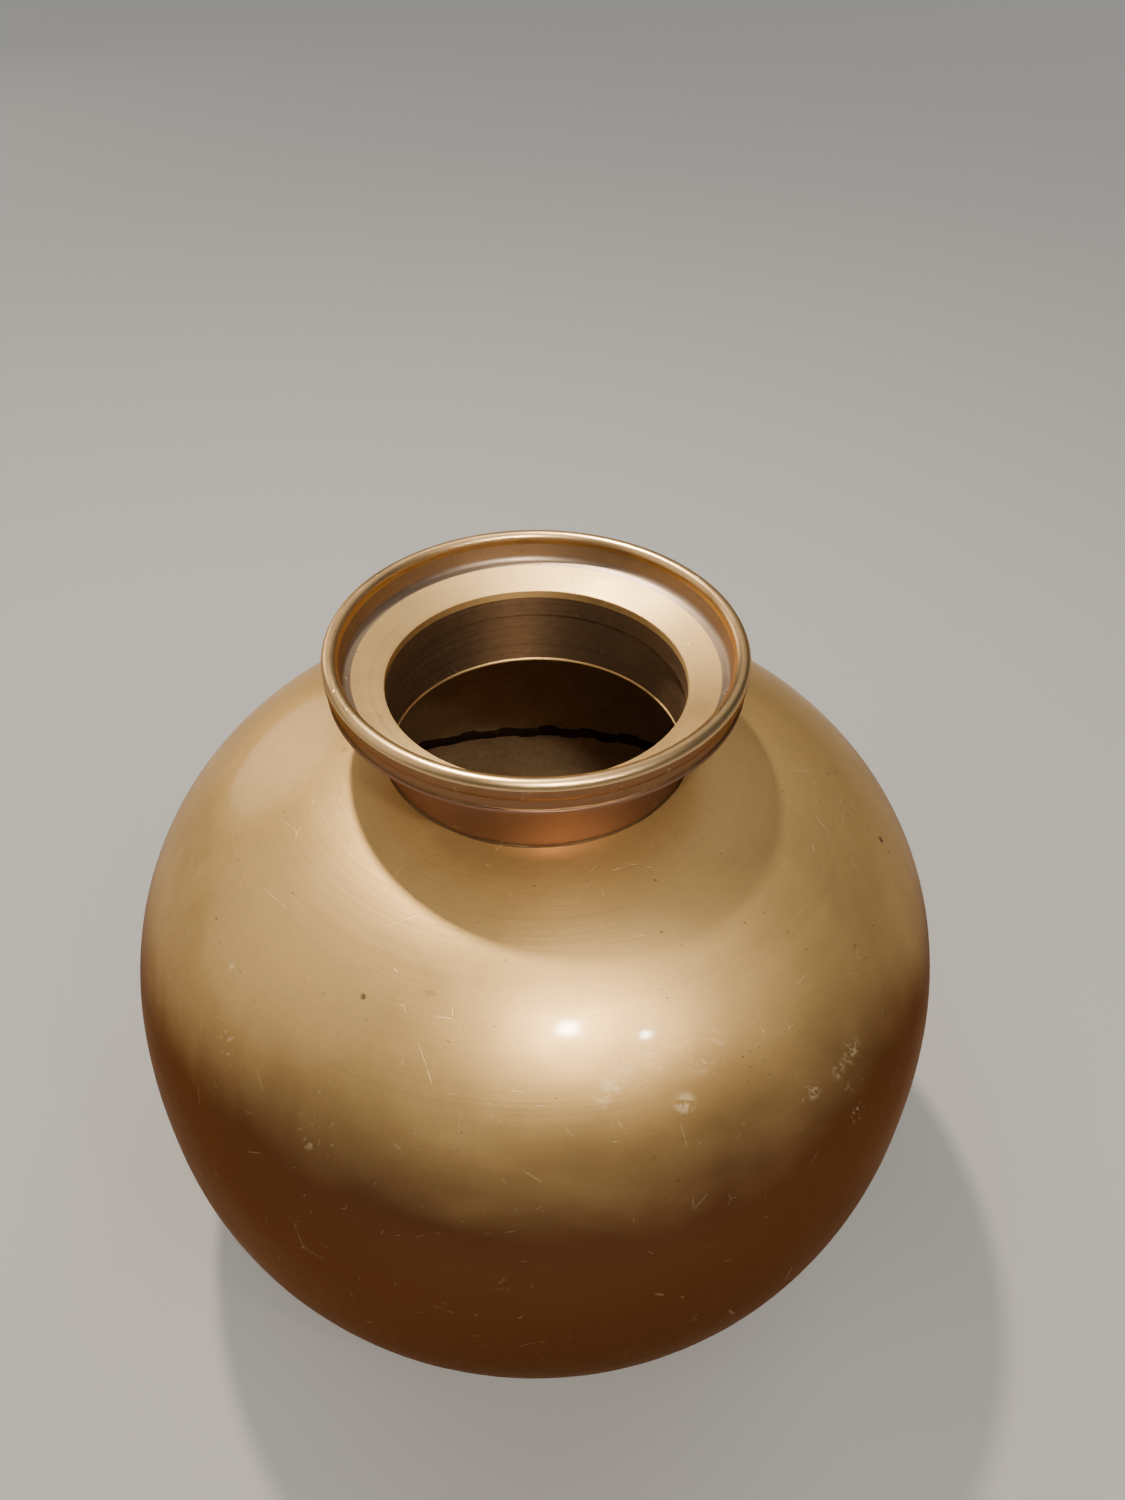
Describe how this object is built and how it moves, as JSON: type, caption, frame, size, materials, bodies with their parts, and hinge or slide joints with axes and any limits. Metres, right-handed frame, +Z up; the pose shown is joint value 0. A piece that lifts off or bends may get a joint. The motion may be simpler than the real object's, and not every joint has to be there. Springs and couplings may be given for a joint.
{
  "type": "lota water pot",
  "caption": "Round-bellied brass water pot with a short neck and a wide turned mouth ring with a sunk ledge, on a low ring foot.",
  "frame": {"origin": "centre of the pot's footprint on the floor", "axes": "+Z up along the axis of the pot, which is round, so +X and +Y may be any two sides"},
  "size_m": [0.246, 0.246, 0.23],
  "materials": {
    "body_brass": "satin, worn, lightly tarnished",
    "turned_brass": "turned, satin with a polished lip",
    "neck_brass": "turned, warm and darker",
    "braze": "bright thin filler"
  },
  "bodies": {
    "root": {"mouth_ring": "turned_brass", "mouth_braze": "braze", "neck_tube": "neck_brass", "neck_braze": "braze", "shoulder_shell": "body_brass", "belly_braze": "braze", "lower_bowl": "body_brass", "foot_ring": "turned_brass", "foot_braze": "braze"}
  },
  "joints": []
}
